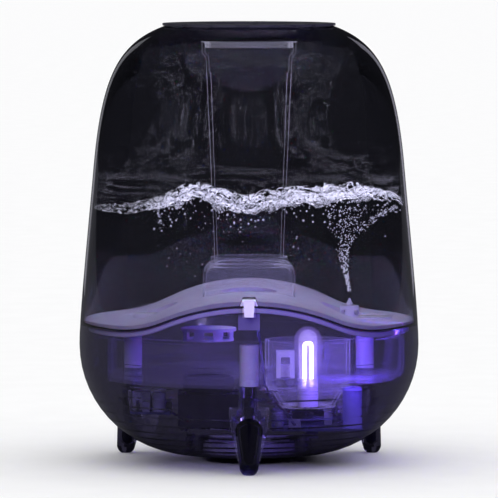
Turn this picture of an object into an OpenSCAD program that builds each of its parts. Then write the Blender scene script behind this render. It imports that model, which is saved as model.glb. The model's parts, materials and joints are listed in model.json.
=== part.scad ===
// Free-standing cool mist humidifier: a clear three-footed base with a tray, a mist
// maker, a lamp and a fan, and a clear lift-off water tank with a lid on top.
// Millimetres. +Z is up, the front faces -Y, and the origin is on the floor below the axis.

/* [Body] */
// Radius of the round body at its widest ring
body_r = 113; // [112.5:0.25:114]
// Height of the widest ring above the floor
body_z = 78; // [77.5:0.25:78.5]
// Radius of the bowl that rounds in under the widest ring
bowl_r = 73; // [72.5:0.25:73]
// Radius of the body at the foot of its shoulder
shoulder_r = 103.5; // [103:0.25:104.5]
// Height of the foot of the shoulder
shoulder_z = 195; // [190:1:200]
// Radius of the body at the top edge of the tank
top_r = 56.1; // [56:0.1:56.5]
// Height of the top edge of the tank
top_z = 289.6; // [289.4:0.1:289.8]
// Wall of the base shell
base_wall = 3; // [2.8:0.1:3]
// Wall of the tank shell
tank_wall = 2.5; // [2.2:0.1:2.7]

/* [Wave parting] */
// Radius of the wave's crest, seen from the front
crest_r = 134.4; // [130:0.5:138]
// Radius of the wave's two valleys
valley_r = 76.5; // [74:0.5:78]
// Steepest slope of the wave, in degrees
wave_angle = 24.5; // [23.5:0.1:24.8]
// Height of the tank floor at its low sides
floor_top = 95.2; // [95.2:0.1:95.6]

/* [Mist path] */
// Outer radius of the mist tube at its foot
tube_foot_r = 23; // [22.5:0.1:23.2]
// Outer radius of the mist tube under its collar
tube_head_r = 28.7; // [28:0.1:29]
// Outer radius of the mist tube's collar
collar_r = 31.3; // [31.3:0.1:31.6]
// Outer radius of the mist chamber
chamber_r = 28.6; // [28:0.1:28.8]

/* [Stand] */
// Radius of the circle that the three posts stand on
post_pcd_r = 91; // [90.5:0.1:91.5]
// Outward lean of each foot, in degrees
foot_lean = 10; // [9:0.5:11]
// Radius of the rounded tip of a foot
foot_tip_r = 6.2; // [5.8:0.1:6.4]

/* [Hidden] */

// Facets that a drawn circle is shown with
$fn = 64;
// Length that a cutting solid runs past the solid it cuts
past = 1;
// Half length of the prisms that carry the wave from front to back
wave_reach = 130;

// ---- Heights that several parts share ----
wave_rise = (crest_r + valley_r) * (1 - cos(wave_angle));
crest_x = crest_r * sin(wave_angle);
valley_x = crest_x + valley_r * sin(wave_angle);
floor_thick = 3;
floor_low = floor_top - floor_thick;
shell_edge = floor_low - 0.3;
edge_gap = 0.3;
rim_top = floor_top - 4.6;
rim_low = floor_top - 8;
tray_rim_top = 87;
tray_rim_low = 84.7;
chimney_top = tray_rim_top - 7;
tray_floor = 56.5;
tray_wall = 2;
tray_r = 103.5;
tray_flat_x = -92;
base_floor = body_z - bowl_r;
inner_floor = base_floor + base_wall;

// ---- Places of the parts, seen from above ----
post_angles = [-90, 30, 150];
chamber_at = [39.3, 16];
lamp_at = [39.3, -2];
fan_at = [-27, 0];
float_at = [24, -34];
valve_at = [67, 0];
magnet_at = [-67.5, 0];
pool_x = 75.5;
pool_r = 28;
capacitor_at = [68, -32];
driver_posts = [[27.6, -8.5], [60.5, -5.5], [18.5, 35.5], [58, 37.5]];
power_posts = [[-74, -6], [-58, 28]];
gland_z = 48.5;

// ---- Outline of the body ----
side_curve = [
    [body_r, body_z],
    [body_r, body_z + 20],
    [shoulder_r + 3.5, shoulder_z - 40],
    [shoulder_r, shoulder_z]
];
shoulder_curve = [
    [shoulder_r, shoulder_z],
    [shoulder_r - 5.4, shoulder_z + 61.2],
    [top_r + 30.8, top_z - 11.3],
    [top_r, top_z]
];

// Point of a cubic curve p at t from 0 to 1
function curve(p, t) =
    pow(1 - t, 3) * p[0] + 3 * pow(1 - t, 2) * t * p[1]
    + 3 * (1 - t) * t * t * p[2] + t * t * t * p[3];

// Direction of travel of a cubic curve p at t
function travel(p, t) =
    pow(1 - t, 2) * (p[1] - p[0]) + 2 * (1 - t) * t * (p[2] - p[1])
    + t * t * (p[3] - p[2]);

// Point of a cubic curve p at t, moved depth inwards, square to the curve
function inset(p, t, depth) =
    let (s = travel(p, t)) curve(p, t) + depth * [-s[1], s[0]] / norm(s);

// Points of the bowl's arc, depth inwards, from its flat bottom to its widest ring
function bowl_points(depth) = [
    for (a = [-90 : 6 : 0])
        [body_r - bowl_r, body_z] + (bowl_r - depth) * [cos(a), sin(a)]
];

// Points of a curve, depth inwards, between t = first and t = last
function curve_points(p, depth, first, last, steps) = [
    for (i = [0 : steps]) inset(p, first + (last - first) * i / steps, depth)
];

// Solid of revolution of the lower body, depth inwards from its surface
module lower_body(depth) {
    side = curve_points(side_curve, depth, 0.1, 0.5, 4);
    rotate_extrude($fn = 128)
        polygon(concat(
            [[0, base_floor + depth]],
            bowl_points(depth),
            side,
            [[0, side[len(side) - 1][1]]]
        ));
}

// Solid of revolution of the upper body, depth inwards from its surface
module upper_body(depth) {
    side = curve_points(side_curve, depth, 0.04, 1, 9);
    shoulder = curve_points(shoulder_curve, depth, 0.08, 1, 12);
    rotate_extrude($fn = 128)
        polygon(concat(
            [[0, side[0][1]]],
            side,
            shoulder,
            [[0, shoulder[len(shoulder) - 1][1]]]
        ));
}

// Line of the wave from left to right at the height level of its low sides
function wave_line(level) = concat(
    [[-wave_reach, level]],
    [for (i = [0 : 5]) let (a = wave_angle * i / 5)
        [-valley_x + valley_r * sin(a), level + valley_r * (1 - cos(a))]],
    [for (i = [-4 : 4]) let (a = wave_angle * i / 5)
        [crest_r * sin(a), level + wave_rise - crest_r * (1 - cos(a))]],
    [for (i = [5 : -1 : 0]) let (a = wave_angle * i / 5)
        [valley_x - valley_r * sin(a), level + valley_r * (1 - cos(a))]],
    [[wave_reach, level]]
);

// Everything under the wave whose low sides are at the height level
module under_wave(level) {
    rotate([90, 0, 0])
        linear_extrude(height = 2 * wave_reach, center = true)
            polygon(concat(wave_line(level), [[wave_reach, -10], [-wave_reach, -10]]));
}

// Tube or ring on the z axis
module ring(outer, inner, low, high) {
    translate([0, 0, low])
        difference() {
            cylinder(r = outer, h = high - low);
            translate([0, 0, -past])
                cylinder(r = inner, h = high - low + 2 * past);
        }
}

// Upright cylinder from one height to another
module column(at, radius, low, high) {
    translate([at[0], at[1], low])
        cylinder(r = radius, h = high - low);
}

// Box between two opposite corners
module block(low, high) {
    translate(low)
        cube(high - low);
}

// Children repeated at the three posts, with +X pointing outwards
module at_posts() {
    for (a = post_angles)
        rotate([0, 0, a])
            translate([post_pcd_r, 0, 0])
                children();
}

// ---- Base shell ----
boss_top = 42;
column_r = 5.3;
column_top = 61;
head_seat = 50;

// Boss, ribs and hollow column of one post, before it is trimmed to the shell
module post_boss() {
    column([0, 0], 8, 20, boss_top);
    column([0, 0], column_r, 20, column_top);
    for (a = [0, 60, 120])
        rotate([0, 0, a])
            block([-12.5, -0.8, 20], [12.5, 0.8, boss_top - 3]);
}

module base_shell() {
    key_half = key_top_w / 2 + 0.5;
    color("#3a3660", 0.4)
        difference() {
            intersection() {
                union() {
                    difference() {
                        lower_body(0);
                        lower_body(base_wall);
                    }
                    intersection() {
                        at_posts() post_boss();
                        lower_body(0.5);
                    }
                }
                under_wave(shell_edge);
            }
            column([0, 0], inlet_r, base_floor - past, inner_floor + past);
            at_posts() {
                column([0, 0], 3.3, 10, head_seat);
                column([0, 0], 1.7, head_seat - past, column_top + past);
            }
            translate([0, 90, gland_z])
                rotate([-90, 0, 0])
                    cylinder(r = gland_r, h = 30);
            block([-key_half, -120, key_low - 0.5], [key_half, -104, 130]);
        }
}

// ---- Base rim: the pale band under the tank ----
rim_r = 106.5;
skirt_r = 101;

module base_rim() {
    color("#9a93d8", 0.85)
        union() {
            intersection() {
                ring(rim_r, 99, tray_rim_top, 130);
                difference() {
                    under_wave(rim_top);
                    under_wave(rim_low);
                }
            }
            intersection() {
                ring(skirt_r, 99, tray_rim_top, 130);
                under_wave(rim_low + 1);
            }
        }
}

// ---- Water tray ----
sump_r = 34;
sump_floor = 45;
tunnel_r = 8.3;
pin_r = 2.2;
pin_top = 85.7;

// Outside of the basin with its wall taken off by inwards, its bottom at low
module basin(inwards, low) {
    r = tray_r - inwards;
    corner = 6;
    intersection() {
        rotate_extrude($fn = 128)
            polygon(concat(
                [[0, low]],
                [for (a = [-90 : 18 : 0]) [r - corner + corner * cos(a), low + corner + corner * sin(a)]],
                [[r, tray_rim_top + past], [0, tray_rim_top + past]]
            ));
        block([tray_flat_x + inwards, -wave_reach, 0], [wave_reach, wave_reach, 130]);
    }
}

module water_tray() {
    color("#6f62c8", 0.6)
        difference() {
            union() {
                difference() {
                    union() {
                        intersection() {
                            basin(0, tray_floor);
                            column([0, 0], 120, tray_floor, tray_rim_low + past);
                        }
                        column(chamber_at, sump_r, sump_floor, tray_floor + past);
                    }
                    difference() {
                        union() {
                            intersection() {
                                basin(tray_wall, tray_floor + tray_wall);
                                column([0, 0], 120, tray_floor, tray_rim_top + past);
                            }
                            column(chamber_at, sump_r - tray_wall, sump_floor + tray_wall, 80);
                        }
                        at_posts() column([0, 0], tunnel_r + tray_wall, 40, 100);
                        column(fan_at, duct_r + tray_wall, 40, 100);
                    }
                }
                ring(104, 96, tray_rim_low, tray_rim_top);
                at_posts() column([0, 0], tunnel_r + tray_wall, tray_rim_low - past, tray_rim_top - 0.6);
                column(valve_at, pin_r, sump_floor + past, pin_top);
                for (p = driver_posts)
                    column(p, 3, board_top, sump_floor + past);
                for (p = power_posts)
                    column(p, 2.6, power_top, tray_floor + past);
                for (s = [-1, 1])
                    block([s * 98.5 - 2.5, -4, 81.5], [s * 98.5 + 2.5, 4, tray_rim_low + 0.5]);
            }
            at_posts() column([0, 0], tunnel_r, 40, tray_rim_low);
            column(fan_at, duct_r, 40, 100);
            translate([fan_at[0], fan_at[1], 0])
                ring(duct_r + tray_wall + 0.2, duct_r - past, chimney_top, 100);
            column(chamber_at, 25.4, 40, sump_floor + tray_wall + past);
            for (p = driver_posts)
                column(p, 1.15, board_top - past, board_top + 10);
            for (p = power_posts)
                column(p, 1.15, power_top - past, power_top + 10);
        }
}

// ---- Posts between the base shell and the tray ----
post_r = 6.15;
post_low = 58;

module post_sleeve(angle) {
    color("#a79be6")
        rotate([0, 0, angle])
            translate([post_pcd_r, 0, 0])
                difference() {
                    column([0, 0], post_r, post_low, tray_rim_low);
                    column([0, 0], column_r + 0.1, post_low - past, column_top);
                    column([0, 0], 1.4, post_low, 80);
                    ring(post_r + past, post_r - 0.35, 64.6, 65);
                }
}

module post_front() { post_sleeve(post_angles[0]); }
module post_right() { post_sleeve(post_angles[1]); }
module post_left() { post_sleeve(post_angles[2]); }

module post_screws() {
    color("#c9c9d2")
        at_posts()
            difference() {
                union() {
                    column([0, 0], 2.9, head_seat - 2.4, head_seat);
                    column([0, 0], 1.5, head_seat - past, 72);
                }
                translate([0, 0, head_seat - 3])
                    cylinder(r = 1.3, h = 2, $fn = 6);
            }
}

// ---- Mist chamber ----
chamber_top = 79.2;
cone_top = 52.6;
cone_low = 36.5;
throat_r = 18.6;
chamber_wall = 2;

// Outside of the chamber, inwards from its surface
module chamber_form(inwards, top) {
    rotate_extrude($fn = 96)
        polygon([
            [0, cone_low - 2 + inwards],
            [throat_r - inwards, cone_low - 2 + inwards],
            [throat_r - inwards, cone_low + inwards / 2],
            [chamber_r - inwards, cone_top],
            [chamber_r - inwards, top],
            [0, top]
        ]);
}

module mist_chamber() {
    color("#b8aef0", 0.45)
        difference() {
            union() {
                translate([chamber_at[0], chamber_at[1], 0]) {
                    difference() {
                        union() {
                            chamber_form(0, chamber_top);
                            ring(29.4, 20, sump_floor + tray_wall, sump_floor + tray_wall + 1.6);
                        }
                        chamber_form(chamber_wall, chamber_top + past);
                    }
                    intersection() {
                        block([7, 18, 65], [19, 28, chamber_top - 0.5]);
                        difference() {
                            column([0, 0], chamber_r - past, 40, 90);
                            column([0, 0], chamber_r - 5, 40, 90);
                        }
                    }
                }
            }
            translate([chamber_at[0], chamber_at[1], 0]) {
                column([0, 0], 8.6, 30, 40);
                block([-40, -7, 53.5], [-20, 7, 61]);
                block([-7, 20, 53.5], [7, 40, 61]);
            }
            column(lamp_at, holder_r, cone_low, 60);
        }
}

// ---- Transducer ----
seal_low = 31;
seal_top = cone_low - 2;

module transducer_seal() {
    color("#222226")
        translate([chamber_at[0], chamber_at[1], 0])
            difference() {
                ring(11.5, 8.5, seal_low, seal_top);
                column([0, 0], 10.2, 32.1, 33.6);
            }
}

module transducer_disc() {
    color("#d8d2c4")
        column(chamber_at, 10.1, 32.2, 33.5);
}

module transducer_holder() {
    color("#bfc2cc")
        translate([chamber_at[0], chamber_at[1], 0])
            difference() {
                column([0, 0], 13, 26.2, seal_top);
                column([0, 0], 11.7, seal_low, seal_top + past);
                column([0, 0], 8, 28.2, seal_low + past);
                column([0, 0], 5, 20, 30);
            }
}

// ---- Ultraviolet lamp ----
lamp_r = 6;
lamp_low = 52.5;
lamp_top = 87.2;
holder_r = 6.9;

// Closed glass bulb with a domed top, inwards from its surface
module bulb_form(inwards) {
    r = lamp_r - inwards;
    dome_z = lamp_top - lamp_r;
    rotate_extrude($fn = 48)
        polygon(concat(
            [[0, lamp_low + inwards], [r, lamp_low + inwards]],
            [for (a = [0 : 15 : 90]) [r * cos(a), dome_z + r * sin(a)]]
        ));
}

module lamp_glass() {
    color("#cfc8ff", 0.35)
        translate([lamp_at[0], lamp_at[1], 0])
            difference() {
                bulb_form(0);
                bulb_form(0.9);
            }
}

module lamp_tube() {
    bar_r = 1.35;
    bar_x = 2.3;
    bend_z = 76;
    color("white")
        translate([lamp_at[0], lamp_at[1], 0]) {
            for (s = [-1, 1])
                column([s * bar_x, 0], bar_r, lamp_low + 0.9, bend_z);
            translate([0, 0, bend_z])
                rotate([90, 0, 0])
                    rotate_extrude(angle = 180)
                        translate([bar_x, 0])
                            circle(r = bar_r);
        }
}

module lamp_holder() {
    color("#d5d0e8")
        difference() {
            column(lamp_at, holder_r, cone_low, lamp_low + 2.5);
            column(lamp_at, lamp_r, lamp_low, lamp_low + 4);
            for (s = [-1, 1])
                column([lamp_at[0] + s * 2, lamp_at[1] - 3.4], 0.8, cone_low - past, cone_low + 6);
        }
}

// ---- Float and its level sensor ----
cage_low = tray_floor + tray_wall;
cage_top = 76;
float_r = 4.1;
float_low = cage_low + 0.4;
float_high = float_low + 8;

module float_cage() {
    color("#d9d6ee")
        translate([float_at[0], float_at[1], 0])
            difference() {
                block([-6, -6, cage_low], [6, 6, cage_top]);
                block([-4.5, -4.5, cage_low - past], [4.5, 4.5, cage_top - 1.5]);
                block([-3, -7, cage_low - past], [3, 7, cage_top - 4]);
                block([-7, -2, cage_low - past], [7, 2, cage_low + 4]);
            }
}

module float_body() {
    color("#f0eff8")
        difference() {
            column(float_at, float_r, float_low, float_high);
            column(float_at, 2.1, float_low - past, float_low + 3.2);
        }
}

module float_magnet() {
    color("#55565c")
        column(float_at, 2, float_low + 0.3, float_low + 2.9);
}

module level_sensor() {
    color("#2f6b4f")
        translate([float_at[0], float_at[1], 0]) {
            block([-9, -5, tray_floor - 1.6], [9, 5, tray_floor]);
            translate([-6, 0, tray_floor - 2.8])
                rotate([0, 90, 0])
                    cylinder(r = 1.3, h = 12);
        }
}

// ---- Air path ----
duct_r = 15;
fan_half = 20;
fan_low = 24;
fan_top = 44;
rotor_r = 17.6;

module air_duct() {
    color("#3b3a4a")
        translate([fan_at[0], fan_at[1], 0])
            difference() {
                union() {
                    block([-fan_half, -fan_half, fan_top], [fan_half, fan_half, fan_top + 2]);
                    column([0, 0], duct_r + 2, fan_top, tray_floor);
                }
                column([0, 0], duct_r, fan_top - past, tray_floor + past);
                fan_corners() column([0, 0], 1.7, fan_top - past, fan_top + 3);
            }
}

module duct_hood() {
    cap_low = chimney_top;
    color("#8d84cc")
        translate([fan_at[0], fan_at[1], 0])
            difference() {
                union() {
                    ring(duct_r + tray_wall, duct_r, cap_low, cap_low + 7);
                    column([0, 0], duct_r + 3.5, cap_low + 6.5, cap_low + 8.5);
                }
                for (a = [0, 45, 90, 135])
                    rotate([0, 0, a])
                        block([-30, -3.2, cap_low + 1.5], [30, 3.2, cap_low + 6.5]);
            }
}

// Children at the four screw holes of the fan frame
module fan_corners() {
    for (x = [-16, 16], y = [-16, 16])
        translate([x, y, 0])
            children();
}

module fan_frame() {
    color("#1b1b20")
        translate([fan_at[0], fan_at[1], 0])
            difference() {
                union() {
                    difference() {
                        block([-fan_half, -fan_half, fan_low], [fan_half, fan_half, fan_top]);
                        column([0, 0], rotor_r + 1, fan_low - past, fan_top + past);
                    }
                    column([0, 0], 9, fan_low, fan_low + 1.6);
                    for (a = [20, 110, 200, 290])
                        rotate([0, 0, a])
                            block([7, -1.2, fan_low], [rotor_r + 1.6, 1.2, fan_low + 1.6]);
                    column([0, 0], 3, fan_low, fan_low + 8);
                }
                fan_corners() column([0, 0], 1.7, fan_low - past, fan_top + past);
                column([0, 0], 1.05, fan_low + 2, fan_low + 9);
                for (y = [-1, 1])
                    block([-30, y * 14 - 1.6, 30], [30, y * 14 + 1.6, 34]);
            }
}

module fan_stator() {
    color("#a9723c")
        translate([fan_at[0], fan_at[1], 0])
            difference() {
                union() {
                    ring(4.4, 3, fan_low + 2.4, fan_low + 8);
                    for (a = [0 : 60 : 300])
                        rotate([0, 0, a])
                            block([3.6, -1.3, fan_low + 2.4], [7, 1.3, fan_low + 8]);
                }
                column([0, 0], 3, fan_low, fan_low + 9);
            }
}

module fan_rotor() {
    blades = 7;
    color("#26262c")
        translate([fan_at[0], fan_at[1], 0]) {
            difference() {
                column([0, 0], 9, fan_low + 2.2, fan_top - 1.4);
                column([0, 0], 7.6, fan_low + 1, fan_low + 9.4);
            }
            column([0, 0], 1, fan_low + 3, fan_low + 10);
            for (a = [0 : blades - 1])
                rotate([0, 0, a * 360 / blades])
                    intersection() {
                        translate([0, 0, 34])
                            rotate([38, 0, 0])
                                block([8.4, -9, -0.7], [rotor_r, 9, 0.7]);
                        column([0, 0], rotor_r, fan_low + 3, fan_top - 2);
                    }
        }
}

module fan_screws() {
    color("#dadae2")
        translate([fan_at[0], fan_at[1], 0])
            fan_corners() {
                column([0, 0], 2.7, fan_low - 2, fan_low);
                column([0, 0], 1.5, fan_low - past, fan_top + 4);
            }
}

// ---- Driver board for the transducer ----
board_top = 25.6;
board_thick = 1.6;
board_low = board_top - board_thick;

module driver_board() {
    color("#1f5a3c")
        difference() {
            union() {
                block([15, -20, board_low], [65, 46, board_top]);
                block([15, -38.5, board_low], [74.5, -19, board_top]);
            }
            for (p = driver_posts)
                column(p, 1.4, board_low - past, board_top + past);
            column(chamber_at, 6, board_low - past, board_top + past);
        }
}

module driver_parts() {
    fin_pitch = 4;
    color("#8f8fa6") {
        // Lead socket under the board
        block([38, -13, 17], [46, -6, board_low]);
        // Sockets for the lamp's leads and the key's lead
        block([50, -14, board_top], [55, -2, 34]);
        block([26, -37.5, board_top], [34, -32, 31]);
        // Heat sink: a foot and its fins
        block([59.5, 3, board_top], [64.5, 18, 28]);
        for (i = [0 : 3])
            block([59.5, 3 + i * fin_pitch, 28], [64.5, 4.5 + i * fin_pitch, 36]);
        // Coil, small capacitors and the supply socket
        column([20.5, 5], 4.8, board_top, 32);
        column([19, 24], 3.5, board_top, 33);
        column([20, -24], 3, board_top, 33);
        block([32, 38, board_top], [46, 44, 32]);
        block([52, 24, board_low - 3], [62, 34, board_low]);
    }
}

module driver_capacitor() {
    can_top = 50;
    color("#8d84d6") {
        column(capacitor_at, 6.35, board_top, can_top);
        translate([capacitor_at[0], capacitor_at[1], can_top])
            cylinder(r1 = 6.9, r2 = 6, h = 2);
    }
}

// ---- Power board ----
power_low = 32;
power_top = power_low + board_thick;

module power_board() {
    color("#1f5a3c")
        difference() {
            block([-79, -12, power_low], [-52, 32, power_top]);
            for (p = power_posts)
                column(p, 1.4, power_low - past, power_top + past);
        }
}

module power_parts() {
    color("#7a7a90") {
        block([-78, 6, power_top], [-66, 20, 45]);
        column([-60, -4], 4.5, power_top, 46);
        column([-60, 9], 3.2, power_top, 43);
        block([-76, 25, power_top], [-64, 31, 41]);
        block([-71, -11, power_top], [-66, -3, 40]);
        block([-58, 18, power_top], [-52, 25, 38]);
    }
}

// Small screws with their heads under a board
module screws_under(points, head_top, reach) {
    for (p = points) {
        column(p, 2.2, head_top - 1.6, head_top);
        column(p, 1.25, head_top - 0.5, head_top + reach);
    }
}

module board_screws() {
    color("#c9c9d2") {
        screws_under(driver_posts, board_low, 9);
        screws_under(power_posts, power_low, 9);
    }
}

// ---- Wires inside the base ----
wire_r = 0.9;
wire_routes = [
    // Power board to driver board
    [[-52, 22, 35], [-50, 22, 35], [-40, 30, 37], [-20, 44, 38], [10, 46.5, 36],
        [24, 44, 31], [29.5, 41, 29], [32, 41, 29]],
    // Power board to fan
    [[-52, -6, 32.8], [-50, -6, 32.8], [-49.4, -8, 32.5], [-49.6, -12, 32.1], [-49, -14, 32],
        [-47, -14, 32]],
    // Lamp to driver board
    [[41.3, -5.4, 36.5], [41.3, -5.4, 34], [43, -8, 31], [47, -9, 30], [50, -9, 30]],
    [[37.3, -5.4, 36.5], [37.3, -5.4, 34], [39, -10, 31.5], [45, -11.8, 30], [50, -11.8, 30]],
    // Key board to driver board
    [[6, -101.8, 95], [6, -101.8, 93.5], [6.2, -103, 91.5], [7, -105.8, 88.5], [8, -106, 80], [9, -105.4, 70],
        [10, -104.4, 62], [12, -100, 54], [18, -84, 46], [24, -60, 38], [28.5, -45, 30.5],
        [30, -41, 28.5], [30, -37.5, 28.5]]
];

// Direction of a route at its point i
function heading(route, i) =
    let (last = len(route) - 1, d = route[min(i + 1, last)] - route[max(i - 1, 0)]) d / norm(d);

// Round wire swept along a route of points
module wire(route, sides) {
    rings = len(route);
    points = [
        for (i = [0 : rings - 1])
            let (
                along = heading(route, i),
                across = cross(along, [0.6, 0, 0.8]) / norm(cross(along, [0.6, 0, 0.8])),
                up = cross(across, along)
            )
            for (k = [0 : sides - 1])
                route[i] + wire_r * (cos(360 * k / sides) * across + sin(360 * k / sides) * up)
    ];
    faces = concat(
        [[for (k = [0 : sides - 1]) k]],
        [[for (k = [sides - 1 : -1 : 0]) (rings - 1) * sides + k]],
        [for (i = [0 : rings - 2], k = [0 : sides - 1]) let (n = (k + 1) % sides)
            [i * sides + k, (i + 1) * sides + k, (i + 1) * sides + n]],
        [for (i = [0 : rings - 2], k = [0 : sides - 1]) let (n = (k + 1) % sides)
            [i * sides + k, (i + 1) * sides + n, i * sides + n]]
    );
    polyhedron(points = points, faces = faces);
}

module wire_harness() {
    color("#2b2b33")
        for (route = wire_routes)
            wire(route, 8);
}

// ---- Air inlet under the base ----
inlet_r = 33;
dome_r = 34.3;
dome_top = 18;

module filter_housing() {
    color("#6a63ad", 0.7)
        difference() {
            union() {
                rotate_extrude($fn = 96)
                    polygon(concat(
                        [[inlet_r - 1.6, inner_floor + 0.2], [43, inner_floor + 0.2]],
                        [[43, inner_floor + 1.4], [dome_r, inner_floor + 1.4]],
                        [for (a = [0 : 22.5 : 90])
                            [dome_r - 3 + 3 * cos(a), dome_top - 3 + 3 * sin(a)]],
                        [[0, dome_top], [0, dome_top - 1.6], [inlet_r - 1.6, dome_top - 1.6]]
                    ));
                for (s = [-1, 1])
                    column([s * 39, 0], 3.25, inner_floor + 0.2, 17);
            }
            for (a = [0 : 30 : 330])
                rotate([0, 0, a])
                    block([10, -1.5, dome_top - 3], [27, 1.5, dome_top + past]);
            for (s = [-1, 1])
                column([s * 39, 0], 1.4, 5, 20);
        }
}

module inlet_filter() {
    color("#d8d8de")
        column([0, 0], 30.5, 9.6, 14.5);
}

module inlet_grille() {
    color("#2a2838")
        difference() {
            union() {
                column([0, 0], inlet_r - 0.3, base_floor, base_floor + 2);
                ring(31.1, 29.3, base_floor + past, 9.4);
            }
            for (i = [-4 : 4])
                let (half = sqrt(27 * 27 - 36 * i * i))
                    for (s = [-1, 1])
                        block(
                            [i * 6 - 1.5, s > 0 ? 1.2 : -half, base_floor - past],
                            [i * 6 + 1.5, s > 0 ? half : -1.2, base_floor + 3]
                        );
        }
}

module housing_screws() {
    color("#e6e6ee")
        for (s = [-1, 1]) {
            column([s * 39, 0], 2.8, 17, 18.6);
            column([s * 39, 0], 1.2, 6.4, 17.5);
        }
}

// ---- Feet ----
lean_z = 34;
foot_top_r = 10.2;
foot_len = lean_z / cos(foot_lean) + 0.9;

// Leaning rounded cone: radius top at the lean's pivot, tip at its end
module foot_form(top, tip, reach) {
    translate([0, 0, lean_z])
        rotate([0, -foot_lean, 0])
            rotate_extrude($fn = 48)
                polygon(concat(
                    [[0, 3], [top, 3]],
                    [for (a = [0 : 15 : 90]) [tip * cos(a), -reach + tip - tip * sin(a)]]
                ));
}

module foot(angle) {
    color("#26243c", 0.75)
        difference() {
            rotate([0, 0, angle])
                translate([post_pcd_r, 0, 0])
                    intersection() {
                        foot_form(foot_top_r, foot_tip_r, foot_len);
                        block([-30, -30, 0], [30, 30, 60]);
                    }
            lower_body(0);
            rotate([0, 0, angle])
                translate([post_pcd_r, 0, 0])
                    foot_form(7.4, 3.6, foot_len - 7);
        }
}

module foot_front() { foot(post_angles[0]); }
module foot_right() { foot(post_angles[1]); }
module foot_left() { foot(post_angles[2]); }

module foot_cores() {
    color("#101018") {
        difference() {
            at_posts() foot_form(7.2, 3.4, foot_len - 7.4);
            lower_body(0);
        }
        at_posts() column([0, 0], 3.2, 22, 44);
    }
}

// ---- Cord gland ----
gland_r = 5;
gland_bore_r = 3.3;

module cord_gland() {
    color("#15151a")
        translate([0, 0, gland_z])
            rotate([-90, 0, 0])
                difference() {
                    union() {
                        translate([0, 0, 98])
                            cylinder(r = gland_r, h = 13);
                        translate([0, 0, 97])
                            cylinder(r = gland_r + 2, h = 2.4);
                    }
                    translate([0, 0, 90])
                        cylinder(r = gland_bore_r, h = 30);
                }
}

// ---- Power key ----
key_low = 104;
key_high = 115;
key_top_w = 7.4;
key_foot_w = 6;
key_face = 111.6;
key_back = 107.6;

module power_button() {
    color("white")
        union() {
            translate([0, -key_back, 0])
                rotate([90, 0, 0])
                    linear_extrude(height = key_face - key_back)
                        polygon([
                            [-key_foot_w / 2, key_low],
                            [key_foot_w / 2, key_low],
                            [key_top_w / 2, key_high - 1],
                            [key_top_w / 2 - 1, key_high],
                            [1 - key_top_w / 2, key_high],
                            [-key_top_w / 2, key_high - 1]
                        ]);
            block([-1.5, -key_back - 0.5, key_low + 0.2], [1.5, -105.3, key_low + 1.5]);
        }
}

module key_board() {
    color("#1f5a3c") {
        block([-7, -102.6, 95], [7, -101, 105.5]);
        block([-2, -104.4, 103], [2, -102.6, 105.5]);
    }
}

// ---- Tank ----
neck_r = 53.2;
neck_low = 280;

module tank_shell() {
    key_half = key_top_w / 2 + 0.5;
    color("#17161f", 0.35)
        difference() {
            upper_body(0);
            difference() {
                upper_body(tank_wall);
                ring(neck_r + 2.2, neck_r, neck_low, 300);
            }
            under_wave(shell_edge + edge_gap);
            column([0, 0], neck_r, neck_low, top_z + past);
            block([-key_half, -120, key_low], [key_half, -104, key_high + 0.5]);
        }
}

module tank_floor() {
    mist_hole_r = 19;
    color("#8f86cc", 0.8)
        difference() {
            intersection() {
                upper_body(tank_wall);
                under_wave(floor_top);
                difference() {
                    block([-wave_reach, -wave_reach, 0], [wave_reach, wave_reach, 130]);
                    difference() {
                        under_wave(floor_low);
                        for (s = [-1, 1])
                            column([s * pool_x, 0], pool_r + 2, floor_low, 130);
                    }
                }
            }
            for (s = [-1, 1])
                column([s * pool_x, 0], pool_r, floor_top, 130);
            column([0, 0], mist_hole_r, 80, 130);
            column(valve_at, 3.6, 80, 130);
            block([-key_top_w / 2 - 0.5, -120, 80], [key_top_w / 2 + 0.5, -key_back + past, 130]);
        }
}

module tank_seal() {
    color("#18181c")
        intersection() {
            ring(105.5, 103, 80, 130);
            difference() {
                under_wave(floor_low);
                under_wave(rim_top + 0.3);
            }
        }
}

module mist_tube() {
    wall = 1.8;
    foot_z = socket_top;
    color("#c9c4ee", 0.4)
        rotate_extrude($fn = 96)
            polygon([
                [tube_foot_r, foot_z],
                [tube_foot_r + 0.3, foot_z + 17],
                [tube_head_r, 269],
                [collar_r, 272],
                [collar_r, 279.5],
                [collar_r - wall, 279.5],
                [collar_r - wall, 272.8],
                [tube_head_r - wall, 269.8],
                [tube_head_r - wall - 0.4, 258.6],
                [tube_head_r - wall - 1.4, 258],
                [tube_foot_r + 0.3 - wall, foot_z + 17],
                [tube_foot_r - wall, foot_z]
            ]);
}

// ---- Socket that holds the mist tube on the tank floor ----
socket_top = 132;
socket_half_x = 30.5;
socket_half_y = 26;

// Arch seen from the front, inwards from its surface, carried from front to back
module socket_form(inwards) {
    half = socket_half_x - inwards;
    top = socket_top - inwards;
    corner = 8 - inwards;
    rotate([90, 0, 0])
        linear_extrude(height = 2 * (socket_half_y - inwards), center = true)
            polygon(concat(
                [[-half, 80], [half, 80]],
                [for (a = [0 : 15 : 90]) [half - corner + corner * cos(a), top - corner + corner * sin(a)]],
                [for (a = [90 : 15 : 180]) [corner - half + corner * cos(a), top - corner + corner * sin(a)]]
            ));
}

module tube_socket() {
    color("#a79fe0", 0.6)
        difference() {
            union() {
                difference() {
                    socket_form(0);
                    socket_form(2);
                }
                ring(tube_foot_r + 2.4, tube_foot_r + 0.4, socket_top - past, socket_top + 4);
                block([-14, -socket_half_y - 0.8, 117], [1, -socket_half_y + past, 128.5]);
                block([4, -socket_half_y - 0.8, 117], [12, -socket_half_y + past, 128.5]);
            }
            column([0, 0], tube_foot_r - 1.8, 120, socket_top);
            column([0, 0], tube_foot_r + 0.4, socket_top, socket_top + 5);
            under_wave(floor_top);
        }
}

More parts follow.
